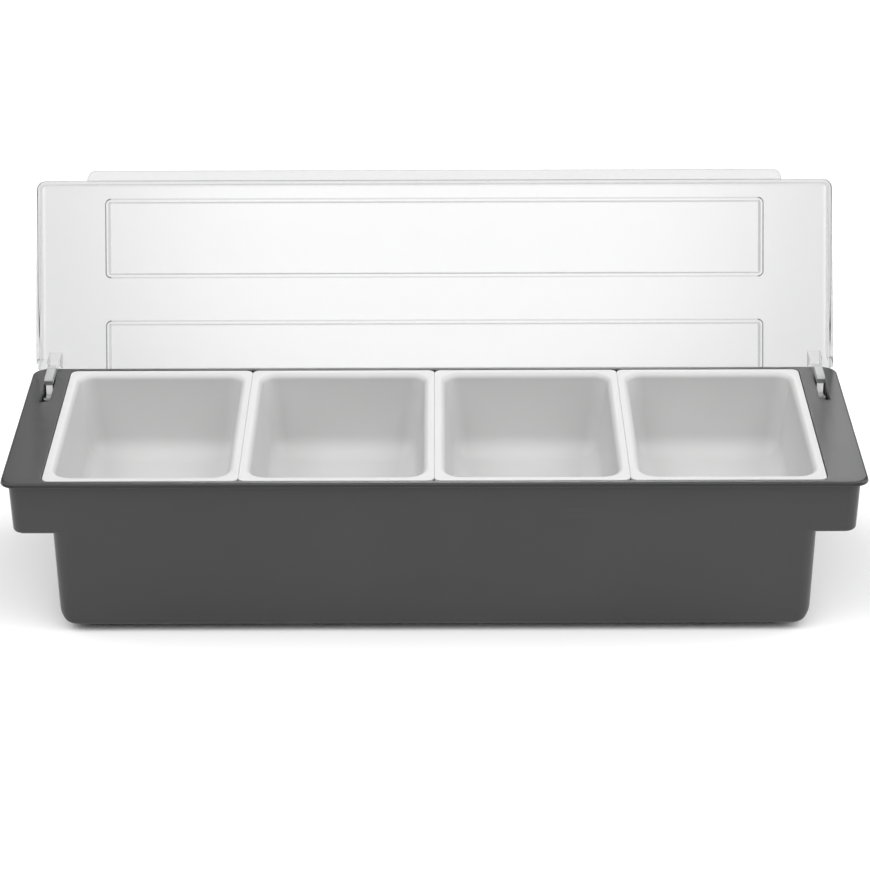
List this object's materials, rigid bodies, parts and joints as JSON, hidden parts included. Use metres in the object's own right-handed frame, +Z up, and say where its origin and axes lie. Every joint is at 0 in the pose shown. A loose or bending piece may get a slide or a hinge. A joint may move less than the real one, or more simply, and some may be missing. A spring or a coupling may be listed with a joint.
{
  "type": "condiment caddy",
  "caption": "Dark moulded condiment caddy with hand-hold wings, white lift-out inserts hung over an ice well, and a clear lid that leans back on gooseneck hinge arms.",
  "frame": {"origin": "centre of the base's flat underside; the rubber feet reach 4 mm below it", "axes": "+X to the right along the row of inserts, +Y from front to back, +Z up; the front is at -Y"},
  "size_m": [0.475, 0.2081, 0.2002],
  "materials": {
    "base": "dark moulded ABS, fine satin texture",
    "lid": "clear polished polycarbonate",
    "insert": "white moulded polypropylene, satin",
    "pin": "drawn stainless wire, cut and chamfered",
    "foot": "moulded rubber, matte"
  },
  "bodies": {
    "caddy": {"base": "base", "hinge_pin_left": "pin", "hinge_pin_right": "pin", "foot_front_left": "foot", "foot_front_right": "foot", "foot_rear_left": "foot", "foot_rear_right": "foot"},
    "lid": {"lid": "lid"},
    "insert_1": {"insert_1": "insert"},
    "insert_2": {"insert_2": "insert"},
    "insert_3": {"insert_3": "insert"},
    "insert_4": {"insert_4": "insert"}
  },
  "joints": [
    {"name": "lid_hinge", "type": "hinge", "parent": "caddy", "child": "lid", "pos_m": [0, 0.054, 0.0805], "axis": [-1, 0, 0], "range_deg": [-118, 0]},
    {"name": "insert_1_lift", "type": "slide", "parent": "caddy", "child": "insert_1", "axis": [0, 0, 1], "range_m": [0, 0.06]},
    {"name": "insert_2_lift", "type": "slide", "parent": "caddy", "child": "insert_2", "axis": [0, 0, 1], "range_m": [0, 0.06]},
    {"name": "insert_3_lift", "type": "slide", "parent": "caddy", "child": "insert_3", "axis": [0, 0, 1], "range_m": [0, 0.06]},
    {"name": "insert_4_lift", "type": "slide", "parent": "caddy", "child": "insert_4", "axis": [0, 0, 1], "range_m": [0, 0.06]}
  ]
}
